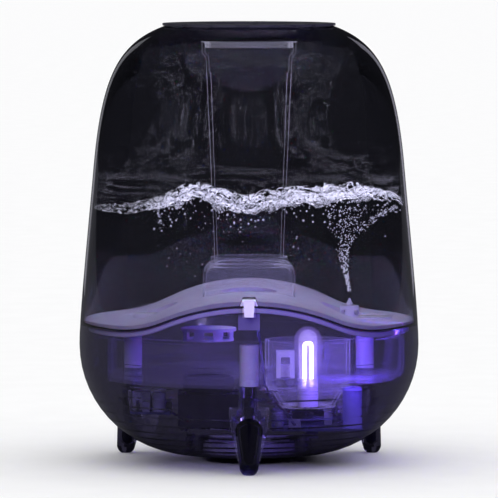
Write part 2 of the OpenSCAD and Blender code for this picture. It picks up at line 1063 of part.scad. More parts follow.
// ---- Tank valve ----
cup_r = 6.3;
cup_top = 103.5;
washer_top = floor_top + 1.6;

module valve_cup() {
    color("white")
        difference() {
            union() {
                column(valve_at, cup_r, floor_top, cup_top);
                column([81.5, 0], 13.6, floor_top, floor_top + 0.9);
            }
            column(valve_at, cup_r - 1.1, floor_top - past, cup_top - 1.2);
            column(valve_at, 1.75, cup_top - 2, cup_top + past);
            translate([valve_at[0], valve_at[1], 0])
                for (a = [45, 135])
                    rotate([0, 0, a])
                        block([-10, -1.8, floor_top + 2], [10, 1.8, floor_top + 5.5]);
        }
}

module valve_spring() {
    turns = 4;
    spring_low = washer_top + 1.2;
    spring_high = cup_top - 1.2;
    pitch = (spring_high - spring_low - 0.7) / (turns - 1);
    color("#c9c9d2")
        translate([valve_at[0], valve_at[1], spring_low + 0.35])
            for (i = [0 : turns - 1])
                translate([0, 0, i * pitch])
                    rotate_extrude($fn = 48)
                        translate([3.2, 0])
                            circle(r = 0.35, $fn = 16);
}

module valve_plunger() {
    color("white")
        translate([valve_at[0], valve_at[1], 0]) {
            column([0, 0], 1.4, 86, 104.6);
            column([0, 0], 4.4, washer_top, washer_top + 1.2);
            translate([0, 0, 104.2])
                cylinder(r1 = 2.4, r2 = 0.5, h = 4);
        }
}

module valve_washer() {
    color("#3a3a40")
        translate([valve_at[0], valve_at[1], 0])
            ring(4.8, 1.4, floor_top, washer_top);
}

module magnet_cover() {
    color("#c7c3ea")
        difference() {
            union() {
                column(magnet_at, 10, floor_top, floor_top + 2.2);
                column(magnet_at, 8.6, floor_top, floor_top + 3);
            }
            column(magnet_at, 5.2, floor_top - past, floor_top + 2.2);
            block([magnet_at[0] - 4, -0.8, floor_top + 2.6], [magnet_at[0] + 4, 0.8, floor_top + 4]);
        }
}

module tank_magnet() {
    color("#77787e")
        column(magnet_at, 5, floor_top + 0.1, floor_top + 2.1);
}

// ---- Lid, funnel, latch and nozzle ----
lid_low = top_z + 0.3;
lid_high = top_z + 1.8;
lid_r = 57.5;
funnel_hole_r = 30.5;

module top_lid() {
    color("#2a2931", 0.5)
        union() {
            ring(lid_r, funnel_hole_r, lid_low, lid_high);
            ring(neck_r - 0.3, neck_r - 2, 283, lid_low + 0.5);
        }
}

module lid_funnel() {
    color("#d5d3e6", 0.5)
        rotate_extrude($fn = 96)
            polygon([
                [31.8, lid_low],
                [38.6, 284.7],
                [31.3, 279.8],
                [29.2, 279.8],
                [29.2, 276],
                [27.6, 276],
                [27.6, 280.2],
                [30.2, 280.2],
                [36.2, 284.7],
                [29.9, lid_low]
            ]);
}

module lid_latch() {
    color("#3c3b45")
        difference() {
            block([-49.5, -7, 281], [-40, 7, lid_low]);
            block([-48, -8, 282.5], [-41.5, 8, 285.5]);
        }
}

module mist_nozzle() {
    color("#5b5a63")
        difference() {
            union() {
                ring(28.6, 26.6, 280.6, 288);
                column([0, 0], 28.6, 287.2, 289.2);
            }
            intersection() {
                translate([4, 16, 280])
                    cylinder(r = 26, h = 20);
                translate([4, -16, 280])
                    cylinder(r = 26, h = 20);
                difference() {
                    block([-30, -30, 280], [30, 30, 300]);
                    for (x = [-6, 4, 14])
                        block([x - 0.8, -20, 280], [x + 0.8, 20, 300]);
                }
            }
        }
}

// ---- One line for each part ----
base_shell();
base_rim();
water_tray();
post_front();
post_left();
post_right();
post_screws();
mist_chamber();
transducer_seal();
transducer_disc();
transducer_holder();
lamp_glass();
lamp_tube();
lamp_holder();
float_cage();
float_body();
float_magnet();
level_sensor();
air_duct();
duct_hood();
fan_frame();
fan_stator();
fan_rotor();
fan_screws();
driver_board();
driver_parts();
driver_capacitor();
power_board();
power_parts();
board_screws();
wire_harness();
filter_housing();
inlet_filter();
inlet_grille();
housing_screws();
foot_front();
foot_left();
foot_right();
foot_cores();
cord_gland();
key_board();
power_button();
tank_shell();
tank_floor();
tank_seal();
mist_tube();
tube_socket();
valve_cup();
valve_spring();
valve_plunger();
valve_washer();
magnet_cover();
tank_magnet();
top_lid();
lid_funnel();
lid_latch();
mist_nozzle();
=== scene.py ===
# %% [markdown]
# A cool mist humidifier is two clear shells with everything on show: a dark tank of water
# on top, and a base below it in which a lamp lights the fan, the boards and the tray.
# The engineering model already holds every solid piece, so this lesson loads it as a fixed
# frame, gives each piece its real finish, and adds what the frame's solids leave plain:
# the wavy tank wall and band, a wound spring, cowls on the feet, water, froth, bubbles and
# the lamp's light. Everything is in metres.

# %% The frame and its box
import json
import math

import bmesh
import bpy
import numpy as np
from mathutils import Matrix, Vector

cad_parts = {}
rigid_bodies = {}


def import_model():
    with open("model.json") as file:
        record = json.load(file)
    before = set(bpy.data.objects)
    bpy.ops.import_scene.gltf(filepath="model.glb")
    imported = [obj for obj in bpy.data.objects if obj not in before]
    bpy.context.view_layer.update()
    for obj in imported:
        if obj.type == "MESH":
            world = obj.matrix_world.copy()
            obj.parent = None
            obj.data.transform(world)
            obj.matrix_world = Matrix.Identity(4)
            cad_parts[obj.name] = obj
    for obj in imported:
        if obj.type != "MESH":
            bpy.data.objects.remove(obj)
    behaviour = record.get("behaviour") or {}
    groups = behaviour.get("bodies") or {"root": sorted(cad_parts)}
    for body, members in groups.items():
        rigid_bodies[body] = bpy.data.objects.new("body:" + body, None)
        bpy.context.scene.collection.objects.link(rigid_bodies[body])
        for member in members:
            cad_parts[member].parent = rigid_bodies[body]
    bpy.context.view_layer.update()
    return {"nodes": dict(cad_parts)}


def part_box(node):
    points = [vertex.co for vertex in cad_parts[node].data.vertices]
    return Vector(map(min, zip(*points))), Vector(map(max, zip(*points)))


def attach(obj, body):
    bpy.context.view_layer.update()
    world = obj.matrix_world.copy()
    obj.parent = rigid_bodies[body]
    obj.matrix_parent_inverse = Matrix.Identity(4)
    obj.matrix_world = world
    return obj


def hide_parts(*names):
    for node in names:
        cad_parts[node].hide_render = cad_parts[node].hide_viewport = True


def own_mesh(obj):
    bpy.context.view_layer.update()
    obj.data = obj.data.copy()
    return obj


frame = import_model()
MM = 0.001

# %% [markdown]
# The camera of a product picture stands far back with a long lens, so the sides of the
# tank stay nearly parallel. It looks down a little, which opens the wave of the tank floor.

# %% Camera
scene = bpy.context.scene
camera_data = bpy.data.cameras.new("long_lens")
camera_data.sensor_width = 36
camera_data.lens = 385
camera_data.clip_start, camera_data.clip_end = 0.1, 60
camera = bpy.data.objects.new("camera", camera_data)
scene.collection.objects.link(camera)
camera.location = (0, -3.54, 0.372)
camera_aim = np.array([0, 0, 0.141]) - np.array(camera.location)
camera.rotation_euler = (math.atan2(math.hypot(camera_aim[0], camera_aim[1]), -camera_aim[2]), 0, 0)
scene.camera = camera
scene.view_settings.view_transform = "Standard"
print("camera tilt", round(math.degrees(camera.rotation_euler[0]) - 90, 2), "degrees")

# %% [markdown]
# Surfaces come from arrays. A sheet of points with rows and columns becomes a mesh of
# four-sided faces, and a row or column that closes on itself wraps round. Poles are
# closed by merging the points that fall together.


# %% From a grid of points to a mesh
def quads_of(rows, columns, wrap_rows, wrap_columns):
    """Corner numbers of every face of a grid: each face takes a point, its neighbour in the
    next column, the one diagonally on, and the one in the next row."""
    number = np.arange(rows * columns).reshape(rows, columns)
    if wrap_rows:
        number = np.vstack([number, number[:1]])
    if wrap_columns:
        number = np.hstack([number, number[:, :1]])
    corners = [number[:-1, :-1], number[:-1, 1:], number[1:, 1:], number[1:, :-1]]
    return np.stack(corners, axis=-1).reshape(-1, 4)


def add_piece(name, points, faces, body, slot, weld=True, smooth=True, stands_for=()):
    """Makes a mesh from points and faces, merges doubled points, turns its faces outwards,
    and lets it ride on a body."""
    mesh = bpy.data.meshes.new(name)
    mesh.from_pydata(points.reshape(-1, 3).tolist(), [], faces.tolist())
    if weld:
        shape = bmesh.new()
        shape.from_mesh(mesh)
        bmesh.ops.remove_doubles(shape, verts=shape.verts, dist=2e-6)
        bmesh.ops.dissolve_degenerate(shape, edges=shape.edges, dist=1e-7)
        bmesh.ops.recalc_face_normals(shape, faces=shape.faces)
        shape.to_mesh(mesh)
        shape.free()
    mesh.polygons.foreach_set("use_smooth", np.full(len(mesh.polygons), smooth))
    piece = bpy.data.objects.new(name, mesh)
    scene.collection.objects.link(piece)
    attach(piece, body)
    if stands_for:
        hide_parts(*stands_for)
    print(name, len(mesh.polygons), "faces on", body)
    return piece


def grid_piece(name, grid, body, slot, wrap_rows=False, wrap_columns=False, capped=False, **more):
    """One grid of points, rows by columns by 3, as a piece. A capped one closes its first
    and last rows on their own middles."""
    if capped:
        ends = [np.broadcast_to(row.mean(0), row.shape)[None] for row in (grid[0], grid[-1])]
        grid = np.concatenate([ends[0], grid, ends[1]])
    faces = quads_of(grid.shape[0], grid.shape[1], wrap_rows, wrap_columns)
    return add_piece(name, grid, faces, body, slot, **more)


def many(shape, faces, places, sizes):
    """A small shape repeated: every copy is the shape times its size, moved to its place."""
    points = shape[None] * sizes[:, None, None] + places[:, None]
    steps = (np.arange(len(places)) * len(shape))[:, None, None]
    return points.reshape(-1, 3), (faces[None] + steps).reshape(-1, faces.shape[1])


def turned(profile, sides, centre=(0, 0)):
    """A profile of radius and height turned about an upright axis: x = cx + r cos a,
    y = cy + r sin a, z = h."""
    a = np.linspace(0, 2 * np.pi, sides, endpoint=False)
    r, h = np.asarray(profile).T
    return np.stack([
        centre[0] + r[:, None] * np.cos(a),
        centre[1] + r[:, None] * np.sin(a),
        np.broadcast_to(h[:, None], (len(r), sides)),
    ], axis=-1)


# %% [markdown]
# Effects that several materials share are node groups, made once. The moulded skin gives
# plastic its slow mottle of shade, its patches of gloss and a fine grain to bump. The
# smudge gives clear walls faint wiping marks, so their gloss isn't perfect.


# %% Node groups
def group_of(name, inputs, outputs):
    """An empty shader node group with named sockets, and its two end nodes."""
    group = bpy.data.node_groups.new(name, "ShaderNodeTree")
    for title, kind in inputs:
        group.interface.new_socket(title, in_out="INPUT", socket_type=kind)
    for title, kind in outputs:
        group.interface.new_socket(title, in_out="OUTPUT", socket_type=kind)
    return group, group.nodes.new("NodeGroupInput"), group.nodes.new("NodeGroupOutput")


def noise_node(tree, where, scale, detail, source=None):
    """A noise texture on a vector socket, its scale from a number or a socket."""
    noise = tree.nodes.new("ShaderNodeTexNoise")
    noise.inputs["Detail"].default_value = detail
    tree.links.new(where, noise.inputs["Vector"])
    if source is None:
        noise.inputs["Scale"].default_value = scale
    else:
        tree.links.new(source, noise.inputs["Scale"])
    return noise


def range_node(tree, value, low, high, out_low, out_high):
    """Maps a value from low..high to out_low..out_high; the last two may be sockets."""
    node = tree.nodes.new("ShaderNodeMapRange")
    tree.links.new(value, node.inputs["Value"])
    node.inputs["From Min"].default_value = low
    node.inputs["From Max"].default_value = high
    for title, given in (("To Min", out_low), ("To Max", out_high)):
        if isinstance(given, (int, float)):
            node.inputs[title].default_value = given
        else:
            tree.links.new(given, node.inputs[title])
    return node.outputs["Result"]


def mix_node(tree, factor, first, second, blend="MIX"):
    """Mixes two colours, each a socket or three numbers, by a factor."""
    node = tree.nodes.new("ShaderNodeMix")
    node.data_type = "RGBA"
    node.blend_type = blend
    for index, given in ((0, factor), (6, first), (7, second)):
        if hasattr(given, "links"):
            tree.links.new(given, node.inputs[index])
        elif index == 0:
            node.inputs[0].default_value = given
        else:
            node.inputs[index].default_value = (*given[:3], 1)
    return node.outputs[2]


skin, skin_in, skin_out = group_of(
    "moulded_skin",
    [("Vector", "NodeSocketVector"), ("Colour", "NodeSocketColor"), ("Shade", "NodeSocketColor"),
     ("Mottle", "NodeSocketFloat"), ("Grain", "NodeSocketFloat"),
     ("Gloss", "NodeSocketFloat"), ("Matt", "NodeSocketFloat")],
    [("Colour", "NodeSocketColor"), ("Roughness", "NodeSocketFloat"), ("Height", "NodeSocketFloat")],
)
slow = noise_node(skin, skin_in.outputs["Vector"], 1, 4, skin_in.outputs["Mottle"])
fine = noise_node(skin, skin_in.outputs["Vector"], 1, 2, skin_in.outputs["Grain"])
slow_mask = range_node(skin, slow.outputs["Fac"], 0.38, 0.64, 0, 1)
skin.links.new(mix_node(skin, slow_mask, skin_in.outputs["Colour"], skin_in.outputs["Shade"]),
               skin_out.inputs["Colour"])
skin.links.new(range_node(skin, slow.outputs["Fac"], 0.35, 0.65, skin_in.outputs["Gloss"],
                          skin_in.outputs["Matt"]), skin_out.inputs["Roughness"])
skin.links.new(fine.outputs["Fac"], skin_out.inputs["Height"])

smudge, smudge_in, smudge_out = group_of(
    "wiping_marks",
    [("Vector", "NodeSocketVector"), ("Clean", "NodeSocketFloat"), ("Wiped", "NodeSocketFloat")],
    [("Roughness", "NodeSocketFloat"), ("Height", "NodeSocketFloat")],
)
wipe = smudge.nodes.new("ShaderNodeMapping")
wipe.inputs["Scale"].default_value = (14, 14, 5)
smudge.links.new(smudge_in.outputs["Vector"], wipe.inputs["Vector"])
wiped = noise_node(smudge, wipe.outputs["Vector"], 1.4, 6)
ripple = noise_node(smudge, wipe.outputs["Vector"], 0.9, 1)
smudge.links.new(range_node(smudge, wiped.outputs["Fac"], 0.42, 0.72, smudge_in.outputs["Clean"],
                            smudge_in.outputs["Wiped"]), smudge_out.inputs["Roughness"])
smudge.links.new(ripple.outputs["Fac"], smudge_out.inputs["Height"])
print("groups", [g.name for g in bpy.data.node_groups])


# %% [markdown]
# Each finish of the record becomes one material. Opaque pieces use the moulded skin with
# their own colours. Clear pieces are tinted glass: light refracts through both faces of a
# wall, and shadow rays pass with the wall's tint, because a path tracer would otherwise
# need thousands of samples to carry the lamp's light out through the shells.


# %% Material makers
def blank(name):
    """A material with a Principled shader and its output."""
    made = bpy.data.materials.new(name)
    made.use_nodes = True
    tree = made.node_tree
    tree.nodes.clear()
    shader = tree.nodes.new("ShaderNodeBsdfPrincipled")
    out = tree.nodes.new("ShaderNodeOutputMaterial")
    tree.links.new(shader.outputs["BSDF"], out.inputs["Surface"])
    place = tree.nodes.new("ShaderNodeTexCoord").outputs["Object"]
    return made, tree, shader, out, place


def bump(tree, shader, height, strength, distance):
    """A bump from a height socket into the shader's normal."""
    node = tree.nodes.new("ShaderNodeBump")
    node.inputs["Strength"].default_value = strength
    node.inputs["Distance"].default_value = distance
    tree.links.new(height, node.inputs["Height"])
    tree.links.new(node.outputs["Normal"], shader.inputs["Normal"])


def plastic(name, colour, shade, gloss, matt, mottle=90, grain=1400, depth=0.25, **sockets):
    """An opaque moulded or painted finish on the shared skin; sockets are constants set on
    the shader itself, named with _ for a space."""
    made, tree, shader, _, place = blank(name)
    node = tree.nodes.new("ShaderNodeGroup")
    node.node_tree = skin
    tree.links.new(place, node.inputs["Vector"])
    node.inputs["Colour"].default_value = (*colour, 1)
    node.inputs["Shade"].default_value = (*shade, 1)
    for title, given in (("Mottle", mottle), ("Grain", grain), ("Gloss", gloss), ("Matt", matt)):
        node.inputs[title].default_value = given
    tree.links.new(node.outputs["Colour"], shader.inputs["Base Color"])
    tree.links.new(node.outputs["Roughness"], shader.inputs["Roughness"])
    bump(tree, shader, node.outputs["Height"], depth, 0.0001)
    for title, given in sockets.items():
        shader.inputs[title.replace("_", " ")].default_value = given
    return made


def clear(name, tint, shadow, clean=0.0, wiped=0.06, ior=1.46, wave=0.04, haze=None):
    """A clear tinted wall. tint is what two faces let through together, and shadow is what
    each face lets pass of the light."""
    made, tree, shader, out, place = blank(name)
    node = tree.nodes.new("ShaderNodeGroup")
    node.node_tree = smudge
    tree.links.new(place, node.inputs["Vector"])
    node.inputs["Clean"].default_value = clean
    node.inputs["Wiped"].default_value = wiped
    tree.links.new(node.outputs["Roughness"], shader.inputs["Roughness"])
    bump(tree, shader, node.outputs["Height"], wave, 0.0006)
    shader.inputs["Base Color"].default_value = (*tint, 1)
    shader.inputs["Transmission Weight"].default_value = 1 if haze is None else haze
    shader.inputs["IOR"].default_value = ior
    passing = tree.nodes.new("ShaderNodeBsdfTransparent")
    passing.inputs["Color"].default_value = (*shadow, 1)
    path = tree.nodes.new("ShaderNodeLightPath")
    blend = tree.nodes.new("ShaderNodeMixShader")
    tree.links.new(path.outputs["Is Shadow Ray"], blend.inputs[0])
    tree.links.new(shader.outputs["BSDF"], blend.inputs[1])
    tree.links.new(passing.outputs["BSDF"], blend.inputs[2])
    tree.links.new(blend.outputs["Shader"], out.inputs["Surface"])
    return made


def film(name, colour, shade, middle, edge, clean=0.05, wiped=0.2, start=0.55, glow=0.0):
    """Thin cloudy plastic: a film that lets light straight through in the middle and closes
    up towards its outline, where the eye looks along the wall. A glow above nought adds an
    emission in the film's colour: a painted glow, seen most where the film is most opaque."""
    made, tree, shader, _, place = blank(name)
    marks = tree.nodes.new("ShaderNodeGroup")
    marks.node_tree = smudge
    tree.links.new(place, marks.inputs["Vector"])
    marks.inputs["Clean"].default_value = clean
    marks.inputs["Wiped"].default_value = wiped
    tree.links.new(marks.outputs["Roughness"], shader.inputs["Roughness"])
    bump(tree, shader, marks.outputs["Height"], 0.04, 0.0006)
    cloud = noise_node(tree, place, 60, 4)
    tree.links.new(mix_node(tree, cloud.outputs["Fac"], colour, shade), shader.inputs["Base Color"])
    grazing = tree.nodes.new("ShaderNodeLayerWeight")
    grazing.inputs["Blend"].default_value = 0.5
    tree.links.new(range_node(tree, grazing.outputs["Facing"], start, 0.97, middle, edge),
                   shader.inputs["Alpha"])
    if glow:
        shader.inputs["Emission Color"].default_value = (*colour, 1)
        shader.inputs["Emission Strength"].default_value = glow
    return made


scene.cycles.transparent_max_bounces = 24
scene.cycles.max_bounces = 16
scene.cycles.transmission_bounces = 16
print("light paths up to", scene.cycles.max_bounces, "bounces")

# %% [markdown]
# The finishes are listed once. Most are named after the record's slots. A few pieces need
# another finish than their slot's, such as the thin cloudy films, and are listed by piece.

# %% The finishes
finish = {
    "clear_base": clear("clear_base", (0.46, 0.44, 0.56), (0.93, 0.92, 0.97), haze=0.99),
    "clear_tank": clear("clear_tank", (0.28, 0.28, 0.32), (0.9, 0.9, 0.93)),
    "clear_lilac": clear("clear_lilac", (0.80, 0.77, 0.95), (0.97, 0.96, 0.99), 0.0, 0.03),
    "lamp_glass": clear("lamp_glass", (0.97, 0.96, 1.0), (0.99, 0.99, 1.0)),
    "smoke_foot": clear("smoke_foot", (0.22, 0.2, 0.34), (0.6, 0.58, 0.7)),
    "pale_plastic": plastic("pale_plastic", (0.78, 0.74, 0.98), (0.68, 0.63, 0.94), 0.28, 0.42,
                            Subsurface_Weight=0.25, Subsurface_Scale=0.004),
    "tray_plastic": clear("tray_plastic", (0.52, 0.48, 0.80), (0.80, 0.77, 0.95), 0.0, 0.03,
                          haze=0.992),
    # The chamber, tube, socket, funnel, cage and cowl films carry a painted glow: an emission in the
    # film's own colour that makes them shine with no lamp.
    "chamber_film_painted_glow": film("chamber_film_painted_glow", (0.80, 0.76, 1.0), (0.70, 0.66, 0.98), 0.05, 0.75, start=0.7,
                         glow=0.3),
    "tube_film_painted_glow": film("tube_film_painted_glow", (0.80, 0.79, 0.92), (0.70, 0.69, 0.84), 0.0, 0.8,
                      start=0.84, glow=0.8),
    "socket_film_painted_glow": film("socket_film_painted_glow", (0.74, 0.71, 0.92), (0.66, 0.63, 0.86), 0.06, 0.85,
                        start=0.78, glow=0.25),
    "tray_film": film("tray_film", (0.60, 0.57, 0.80), (0.52, 0.49, 0.74), 0.02, 0.5, start=0.78),
    "funnel_film_painted_glow": film("funnel_film_painted_glow", (0.85, 0.85, 0.92), (0.72, 0.72, 0.8), 0.10, 0.9,
                        glow=0.9),
    "bulb_film": film("bulb_film", (0.8, 0.74, 1.0), (0.7, 0.64, 1.0), 0.06, 0.95, start=0.6,
                      glow=0.9),
    "cage_film_painted_glow": film("cage_film_painted_glow", (0.80, 0.74, 1.0), (0.68, 0.6, 1.0), 0.55, 0.95, start=0.5,
                      glow=0.35),
    "cowl_film_painted_glow": film("cowl_film_painted_glow", (0.5, 0.46, 0.8), (0.4, 0.36, 0.7), 0.02, 0.9, start=0.86,
                      glow=0.7),
    "clear_lead": clear("clear_lead", (0.70, 0.66, 0.90), (0.9, 0.9, 0.96), 0.05, 0.15),
    "pale_mask": plastic("pale_mask", (0.42, 0.38, 0.66), (0.36, 0.32, 0.6), 0.3, 0.5),
    "lamp_glow": plastic("lamp_glow", (0.95, 0.92, 1.0), (0.9, 0.86, 1.0), 0.2, 0.3,
                         Emission_Color=(0.72, 0.62, 1.0, 1), Emission_Strength=22),
    "white_plastic": plastic("white_plastic", (0.88, 0.85, 0.98), (0.80, 0.77, 0.93), 0.2, 0.34),
    "dark_plastic": plastic("dark_plastic", (0.03, 0.03, 0.036), (0.018, 0.018, 0.022), 0.38, 0.55),
    "black_rubber": plastic("black_rubber", (0.02, 0.02, 0.023), (0.03, 0.03, 0.034), 0.6, 0.8),
    "steel_screw": plastic("steel_screw", (0.62, 0.62, 0.66), (0.5, 0.5, 0.55), 0.2, 0.38,
                           mottle=300, grain=2600, Metallic=1.0),
    "circuit_board": plastic("circuit_board", (0.03, 0.03, 0.07), (0.05, 0.05, 0.12), 0.25, 0.45),
    "board_parts": plastic("board_parts", (0.2, 0.2, 0.27), (0.1, 0.1, 0.14), 0.25, 0.5),
    "capacitor_sleeve": plastic("capacitor_sleeve", (0.22, 0.2, 0.5), (0.17, 0.15, 0.42), 0.18, 0.3),
    "ceramic_disc": plastic("ceramic_disc", (0.7, 0.66, 0.58), (0.62, 0.58, 0.5), 0.3, 0.5),
    "copper_winding": plastic("copper_winding", (0.6, 0.26, 0.1), (0.45, 0.18, 0.07), 0.25, 0.4,
                              Metallic=0.9),
    "magnet_metal": plastic("magnet_metal", (0.4, 0.4, 0.43), (0.33, 0.33, 0.36), 0.2, 0.35,
                            Metallic=0.9),
    "filter_foam": plastic("filter_foam", (0.45, 0.45, 0.5), (0.25, 0.25, 0.3), 0.9, 1.0, grain=900),
    "frosted_plastic": plastic("frosted_plastic", (0.035, 0.035, 0.042), (0.047, 0.047, 0.056),
                               0.25, 0.4),
}
special = {
    "float_cage": "cage_film_painted_glow",
    "key_board": "pale_mask",
    "lamp_glass": "bulb_film",
    "lid_funnel": "funnel_film_painted_glow",
    "mist_chamber": "chamber_film_painted_glow",
    "mist_tube": "tube_film_painted_glow",
    "tube_socket": "socket_film_painted_glow",
    "water_tray": "tray_film",
    "wire_harness": "clear_lead",
}
for name, node in frame["nodes"].items():
    kind = special.get(name, node.data.materials[0].name.split(".")[0])
    node.material_slots[0].material = finish[kind]
print("finishes", len(finish))

# %% [markdown]
# The tank is blown or moulded clear plastic, one wall turned about the upright axis. Its
# lower edge isn't level: it follows the wave, an arc of a large circle over the crest that
# runs into an arc of a smaller circle in each valley. The wall is one closed loop of
# outline, lip, neck and inner face, carried round the axis, with its lower end cut to the
# wave. A notch in the front edge makes room for the key.

# %% The outline and the wave
SIDE = np.array([(113, 78), (113, 98), (107, 155), (103.5, 195)]) * MM
SHOULDER = np.array([(103.5, 195), (98.1, 256.2), (86.9, 278.3), (56.1, 289.6)]) * MM
CREST_R, VALLEY_R, WAVE_ANGLE = 134.4 * MM, 76.5 * MM, math.radians(24.5)
CREST_X = CREST_R * math.sin(WAVE_ANGLE)
VALLEY_X = CREST_X + VALLEY_R * math.sin(WAVE_ANGLE)
WAVE_RISE = (CREST_R + VALLEY_R) * (1 - math.cos(WAVE_ANGLE))


def cubic(points, count):
    """Points of a cubic curve: (1-t)^3 p0 + 3(1-t)^2 t p1 + 3(1-t) t^2 p2 + t^3 p3."""
    t = np.linspace(0, 1, count)[:, None]
    return ((1 - t) ** 3 * points[0] + 3 * (1 - t) ** 2 * t * points[1]
            + 3 * (1 - t) * t ** 2 * points[2] + t ** 3 * points[3])


def inwards(line, depth):
    """A line moved sideways by a depth, square to its own direction."""
    along = np.gradient(line, axis=0)
    along /= np.linalg.norm(along, axis=1)[:, None]
    return line + depth * np.stack([-along[:, 1], along[:, 0]], -1)


def wave(x):
    """Height of the wave above its low sides: the crest's circle near the middle, the
    valley's circle further out, and level beyond."""
    x = np.abs(x)
    crest = WAVE_RISE - CREST_R + np.sqrt(np.maximum(CREST_R ** 2 - x ** 2, 0))
    away = np.clip(VALLEY_X - x, 0, None)
    valley = VALLEY_R - np.sqrt(np.maximum(VALLEY_R ** 2 - away ** 2, 0))
    return np.where(x < CREST_X, crest, valley)


outline = np.concatenate([cubic(SIDE, 400), cubic(SHOULDER, 400)[1:]])


def wall_line(line, edge_height, rows, spread):
    """For every angle, points of a line from the height of its edge there to its top end,
    evenly spaced along the line: rows by angles, radius and height."""
    length = np.concatenate([[0], np.cumsum(np.linalg.norm(np.diff(line, axis=0), axis=1))])
    start = np.interp(edge_height, line[:, 1], length)
    share = np.linspace(0, 1, rows)[:, None] ** spread
    place = start + (length[-1] - start) * share
    return np.interp(place, length, line[:, 0]), np.interp(place, length, line[:, 1])


def edge_of(line, level, angle, notch_half, notch_top):
    """Height of the wall's lower edge at each angle. The radius depends on the height and
    the wave on the radius, so the two are settled by a few rounds of substitution."""
    height = np.full(angle.shape, level)
    for _ in range(6):
        radius = np.interp(height, line[:, 1], line[:, 0])
        height = level + wave(radius * np.cos(angle))
    in_notch = (np.abs(radius * np.cos(angle)) < notch_half) & (np.sin(angle) < 0)
    return np.where(in_notch, notch_top, height)


# %% [markdown]
# Outer line, neck and inner line are joined end to end into one loop for every angle, so
# the wall closes on itself with no separate edge to sew on. Two angles sit close together
# at each side of the notch, which keeps its sides upright.

# %% The tank wall
key_low, key_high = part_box("power_button")
TANK_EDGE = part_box("tank_shell")[0].z
NOTCH_HALF = (key_high.x - key_low.x) / 2 + 0.5 * MM
NOTCH_TOP = key_high.z + 0.5 * MM
KEY_R = 112.2 * MM
WALL = 2.4 * MM
NECK_OUTSIDE = 55.4 * MM
WALL_ROWS = 110
notch_angle = NOTCH_HALF / KEY_R
angles = np.sort(np.concatenate([
    np.linspace(0, 2 * np.pi, 360, endpoint=False),
    1.5 * np.pi + np.array([-1, 1]) * notch_angle * 0.999,
    1.5 * np.pi + np.array([-1, 1]) * notch_angle * 1.001,
]))
inner_line = inwards(outline, WALL)
inner_line = inner_line[inner_line[:, 0] > NECK_OUTSIDE]
outer_edge = edge_of(outline, TANK_EDGE, angles, NOTCH_HALF, NOTCH_TOP)
inner_edge = edge_of(inner_line, TANK_EDGE, angles, NOTCH_HALF, NOTCH_TOP)
outer_r, outer_z = wall_line(outline, outer_edge, WALL_ROWS, 1)
inner_r, inner_z = wall_line(inner_line, inner_edge, WALL_ROWS, 1)
neck = np.array([(55.6, 289.75), (53.7, 289.75), (53.3, 289.5), (53.2, 289.1), (53.2, 280.3),
                 (53.5, 280), (55.1, 280), (55.4, 280.3)]) * MM
neck_r = np.broadcast_to(neck[:, :1], (len(neck), len(angles)))
neck_z = np.broadcast_to(neck[:, 1:], (len(neck), len(angles)))
wall_r = np.concatenate([outer_r, neck_r, inner_r[::-1]])
wall_z = np.concatenate([outer_z, neck_z, inner_z[::-1]])
tank_wall = grid_piece(
    "tank_wall", np.stack([wall_r * np.cos(angles), wall_r * np.sin(angles), wall_z], -1),
    "tank", "clear_tank", True, True, stands_for=("tank_shell",))
tank_wall.data.materials.append(finish["clear_tank"])

# %% [markdown]
# Each foot hangs in a smoky clear cowl, wide where it grows out of the bowl and narrow at
# the tip. Seen from the front it's a long drop, and a painted glow along its outline draws a
# thin pale line.

# %% Foot cowls
COWL_Z = np.array([8, 12, 18, 26, 34, 40, 43]) * MM
COWL_HALF = np.array([7.2, 8.0, 9.4, 11.0, 12.3, 12.9, 12.6]) * MM
COWL_WALL = 1.2 * MM
COWL_R = 82 * MM
SQUARENESS = 0.8
FLATNESS = 0.72


def foot_cowl(name, angle):
    """An open shell of rounded-square rings about one foot, its half width read from the
    cowl's own table by height, and its inner face a wall further in."""
    z = np.linspace(COWL_Z[0], COWL_Z[-1], 26)
    half = np.interp(z, COWL_Z, COWL_HALF)
    loop_z = np.concatenate([z, z[::-1]])
    loop_half = np.concatenate([half, half[::-1] - COWL_WALL])
    a = np.linspace(0, 2 * np.pi, 48, endpoint=False)
    sine, cosine = np.sin(a), np.cos(a)
    side = loop_half[:, None] * np.sign(sine) * np.abs(sine) ** SQUARENESS
    out = FLATNESS * loop_half[:, None] * np.sign(cosine) * np.abs(cosine) ** SQUARENESS
    radius = COWL_R + out
    x = radius * math.cos(angle) - side * math.sin(angle)
    y = radius * math.sin(angle) + side * math.cos(angle)
    cowl = grid_piece(name, np.stack([x, y, loop_z[:, None] + 0 * x], -1), "base",
                      "smoke_foot", True, True)
    # The film's glow is painted light, and it draws the cowl's pale outline.
    cowl.data.materials.append(finish["cowl_film_painted_glow"])
    return cowl


foot_cowl("cowl_front", -math.pi / 2)
foot_cowl("cowl_left", math.radians(150))
foot_cowl("cowl_right", math.radians(30))

# %% [markdown]
# Under the tank's edge the base carries a pale band with a rounded lip, and below the
# band a clear skirt goes down to the tray. Both follow the same wave, so each is a small
# cross-section carried round the axis and lifted by the wave at every point.

# %% The pale band and its skirt
_, rim_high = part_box("base_rim")
TRAY_TOP = 87.0 * MM
BAND_TOP = rim_high.z - WAVE_RISE
BAND_LOW = BAND_TOP - 3.4 * MM
BAND_OUT, BAND_IN = rim_high.x, 99.0 * MM
BAND_CORNER = 1.1 * MM
SKIRT_OUT, SKIRT_IN = 101 * MM, 99 * MM
AROUND = 300


